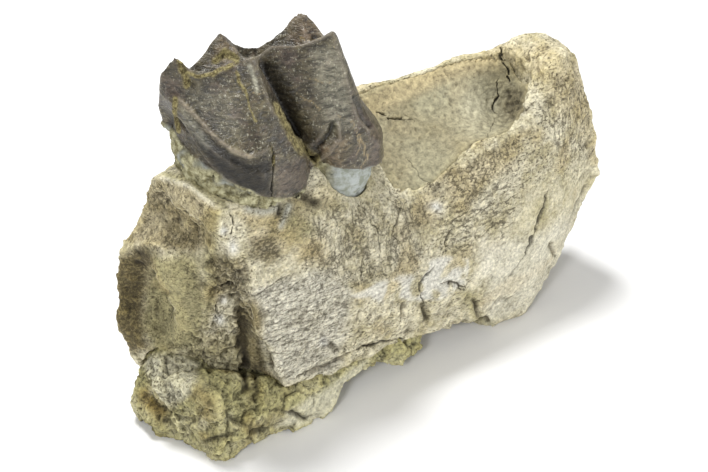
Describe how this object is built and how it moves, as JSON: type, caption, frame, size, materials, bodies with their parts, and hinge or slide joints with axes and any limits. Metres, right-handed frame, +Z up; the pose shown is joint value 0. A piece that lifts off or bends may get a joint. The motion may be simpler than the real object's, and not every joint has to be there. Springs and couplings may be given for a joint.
{
  "type": "fossil jaw section",
  "caption": "Broken section of fossil titanothere lower jaw standing on its matrix, with a tall brown molar in its socket and a silt-filled tooth crypt behind it.",
  "frame": {"origin": "middle of the footprint's bounding box, on the surface the piece stands on", "axes": "+X along the jaw from its broken front end with the open sockets to its rounded rear end, -Y out of the cheek side, +Z up through the tooth"},
  "size_m": [0.1692, 0.0488, 0.1246],
  "materials": {
    "fossil_bone": "matte, fine cracks",
    "tooth_enamel": "satin",
    "smooth_siltstone": "matte",
    "rough_siltstone": "rough"
  },
  "bodies": {
    "root": {"jaw_bone": "fossil_bone", "molar": "tooth_enamel", "crypt_silt": "smooth_siltstone", "base_silt": "rough_siltstone"}
  },
  "joints": []
}
